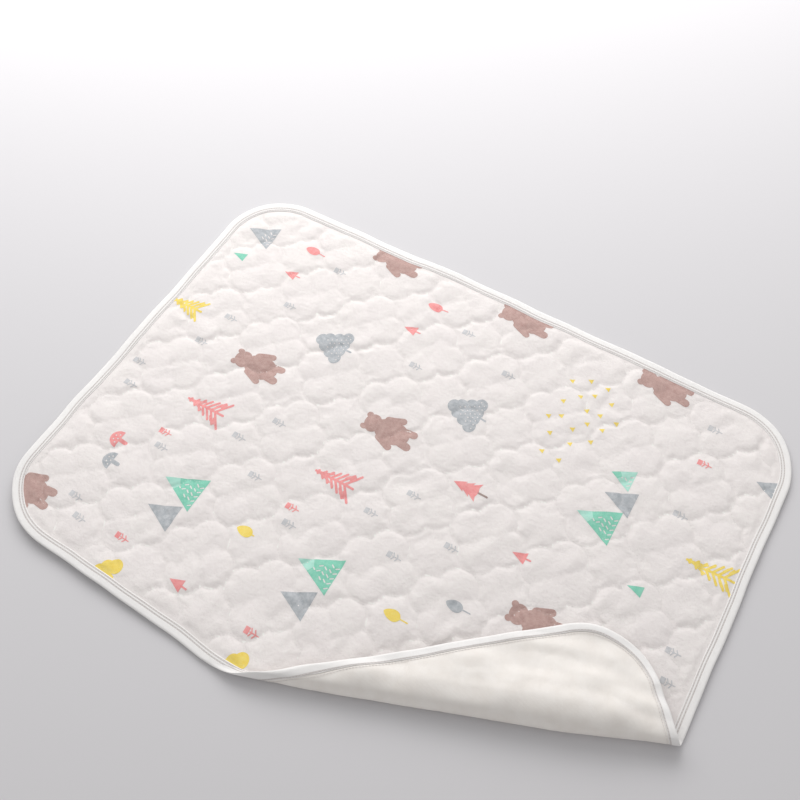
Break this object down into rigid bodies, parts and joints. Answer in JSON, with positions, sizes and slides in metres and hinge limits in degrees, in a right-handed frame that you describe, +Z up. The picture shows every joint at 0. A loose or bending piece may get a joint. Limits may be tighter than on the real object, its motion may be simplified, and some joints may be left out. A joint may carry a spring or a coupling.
{
  "type": "changing pad",
  "caption": "Rectangular quilted changing pad with rounded corners, bound edge, waterproof backing and one corner turned back over the top face.",
  "frame": {"origin": "on the resting plane, under the middle of the pad", "axes": "+X along the long side, +Y along the short side away from the turned corner, +Z up out of the printed top face"},
  "size_m": [0.701, 0.5027, 0.0279],
  "materials": {
    "gauze": "crinkled white cotton gauze, printed",
    "batting": "soft white wadding",
    "film": "thin translucent waterproof film laminated to the backing",
    "backing": "smooth off-white knit with a faint satin sheen",
    "binding_tape": "plain-woven white tape",
    "thread": "white polyester sewing thread"
  },
  "bodies": {
    "pad": {"back_cover": "backing", "waterproof_film": "film", "batting": "batting", "top_cover": "gauze", "edge_binding": "binding_tape", "binding_stitch_outer": "thread", "binding_stitch_inner": "thread", "quilting_thread": "thread"},
    "fold_strip": {"back_cover_fold": "backing", "waterproof_film_fold": "film", "batting_fold": "batting", "top_cover_fold": "gauze", "edge_binding_fold_front": "binding_tape", "edge_binding_fold_side": "binding_tape", "binding_stitch_outer_fold_front": "thread", "binding_stitch_outer_fold_side": "thread", "binding_stitch_inner_fold_front": "thread", "binding_stitch_inner_fold_side": "thread"},
    "turned_corner": {"back_cover_corner": "backing", "waterproof_film_corner": "film", "batting_corner": "batting", "top_cover_corner": "gauze", "edge_binding_corner": "binding_tape", "binding_stitch_outer_corner": "thread", "binding_stitch_inner_corner": "thread", "quilting_thread_corner": "thread"}
  },
  "joints": [
    {"name": "corner_unfold", "type": "hinge", "parent": "pad", "child": "fold_strip", "pos_m": [0.16926, -0.17566, 0.00301], "axis": [0.9404, 0.34, 0], "range_deg": [0, 94]},
    {"name": "corner_unfold_upper", "type": "hinge", "parent": "fold_strip", "child": "turned_corner", "pos_m": [0.16874, -0.17422, 0.02495], "axis": [0.9404, 0.34, 0], "range_deg": [0, 94]}
  ],
  "couplings": [
    {"joint": "corner_unfold_upper", "follows": "corner_unfold", "ratio": 1}
  ]
}
